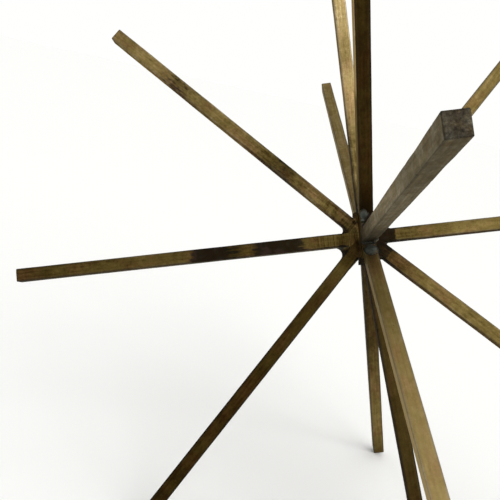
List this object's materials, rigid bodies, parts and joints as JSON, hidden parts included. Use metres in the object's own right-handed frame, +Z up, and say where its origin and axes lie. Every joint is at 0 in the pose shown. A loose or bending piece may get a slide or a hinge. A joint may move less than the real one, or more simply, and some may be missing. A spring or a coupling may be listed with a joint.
{
  "type": "star tree topper",
  "caption": "Spiky three-dimensional star of square brass bars brazed together at one centre, which stands on its own spoke tips or is fixed on top of a tree.",
  "frame": {"origin": "on the surface that the star stands on, under the middle of its box", "axes": "+Z up; +X towards the tip of the right-hand spoke; -Y towards the viewer, where the front spoke points"},
  "size_m": [0.2604, 0.262, 0.2408],
  "materials": {
    "golden_brass": "mottled satin brass with fine file marks and dark edges",
    "olive_brass": "dull olive patinated brass with lengthwise drawing marks",
    "brown_brass": "brown heat-stained brass, semi-matt",
    "blackened_brass": "brass blackened by brazing heat, semi-matt",
    "brazed_joint": "filed braze metal with grey solder lumps and brown-black stains"
  },
  "bodies": {
    "root": {"spoke_right": "golden_brass", "spoke_upper_right": "olive_brass", "spoke_top": "golden_brass", "spoke_upper_left": "golden_brass", "spoke_left": "olive_brass", "spoke_lower_left": "brown_brass", "spoke_bottom": "brown_brass", "spoke_lower_right": "golden_brass", "spoke_back": "olive_brass", "spoke_upper_back": "olive_brass", "spoke_upper_front": "blackened_brass", "spoke_front": "olive_brass", "spoke_lower_front": "olive_brass", "spoke_lower_back": "olive_brass", "brazed_hub": "brazed_joint"}
  },
  "joints": []
}
